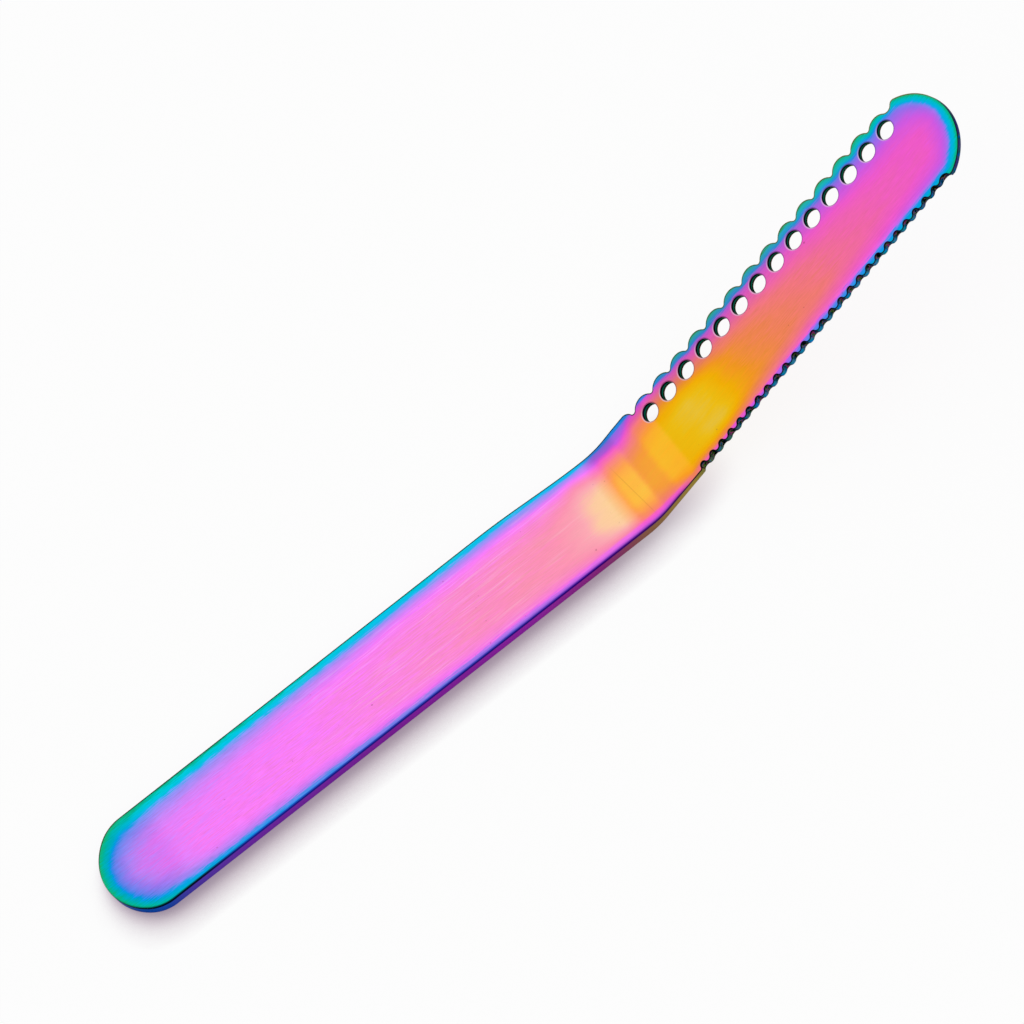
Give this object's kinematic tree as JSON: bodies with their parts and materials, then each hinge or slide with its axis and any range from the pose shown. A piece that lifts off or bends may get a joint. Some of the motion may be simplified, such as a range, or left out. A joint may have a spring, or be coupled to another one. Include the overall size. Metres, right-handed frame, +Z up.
{
  "type": "butter spreader",
  "caption": "One-piece steel butter spreader: flat round-ended handle, bent-up tapering blade with a perforated scalloped edge for curls and a serrated edge for cutting.",
  "frame": {"origin": "on the table, under the middle of the overall box", "axes": "+X from the handle's round end to the blade's tip, +Y towards the scalloped edge, +Z up from the table that the handle lies on"},
  "size_m": [0.211, 0.0216, 0.0374],
  "materials": {
    "steel": "brushed lengthwise, with a rainbow interference coating"
  },
  "bodies": {
    "root": {"spreader": "steel"}
  },
  "joints": []
}
